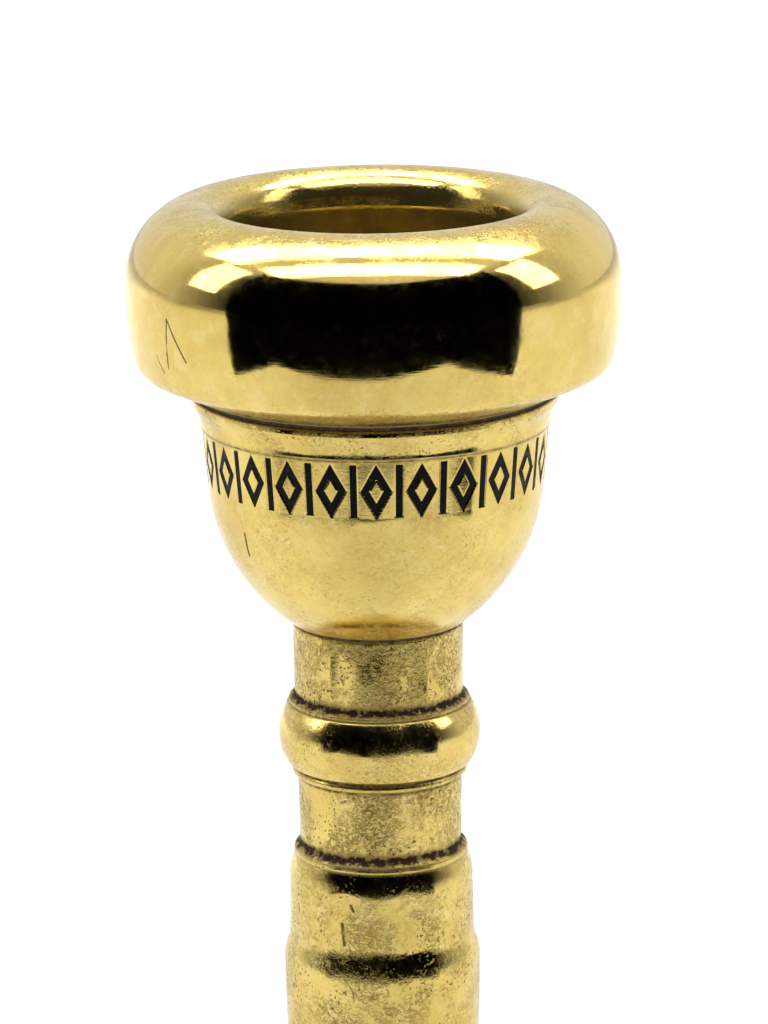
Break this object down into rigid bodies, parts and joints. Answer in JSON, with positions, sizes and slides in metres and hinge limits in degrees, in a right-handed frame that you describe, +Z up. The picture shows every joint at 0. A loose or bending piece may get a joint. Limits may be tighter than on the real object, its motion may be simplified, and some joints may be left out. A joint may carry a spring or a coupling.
{
  "type": "brass instrument mouthpiece",
  "caption": "Brass cup mouthpiece for a trumpet-size receiver, with a rounded rim that screws on to a bowl-shaped cup, and a ringed, stepped, tapered stem that screws in below.",
  "frame": {"origin": "centre of the shank's end face, at the bottom of the part", "axes": "+Z up the axis from the shank's end to the rim; +X to the right and -Y towards the viewer; the part is round about Z"},
  "size_m": [0.027, 0.027, 0.087],
  "materials": {
    "rim_brass": "polished",
    "cup_brass": "polished",
    "stem_brass": "polished, lightly tarnished",
    "black_enamel": "satin black filling",
    "seal_rubber": "matt"
  },
  "bodies": {
    "stem": {"stem": "stem_brass"},
    "stem_seal": {"stem_seal": "seal_rubber"},
    "cup": {"cup": "cup_brass", "engraving_fill": "black_enamel"},
    "rim_seal": {"rim_seal": "seal_rubber"},
    "rim": {"rim": "rim_brass"}
  },
  "joints": [
    {"name": "cup_lift", "type": "slide", "parent": "stem", "child": "stem_seal", "axis": [0, 0, 1], "range_m": [0, 0.005]},
    {"name": "cup_turn", "type": "hinge", "parent": "stem_seal", "child": "cup", "pos_m": [0, 0, 0.0636], "axis": [0, 0, 1], "range_deg": [0, 1800]},
    {"name": "rim_lift", "type": "slide", "parent": "cup", "child": "rim_seal", "axis": [0, 0, 1], "range_m": [0, 0.006]},
    {"name": "rim_turn", "type": "hinge", "parent": "rim_seal", "child": "rim", "pos_m": [0, 0, 0.0768], "axis": [0, 0, 1], "range_deg": [0, 2160]}
  ],
  "couplings": [
    {"joint": "cup_turn", "follows": "cup_lift", "rad_per_m": 6283.2},
    {"joint": "rim_turn", "follows": "rim_lift", "rad_per_m": 6283.2}
  ]
}
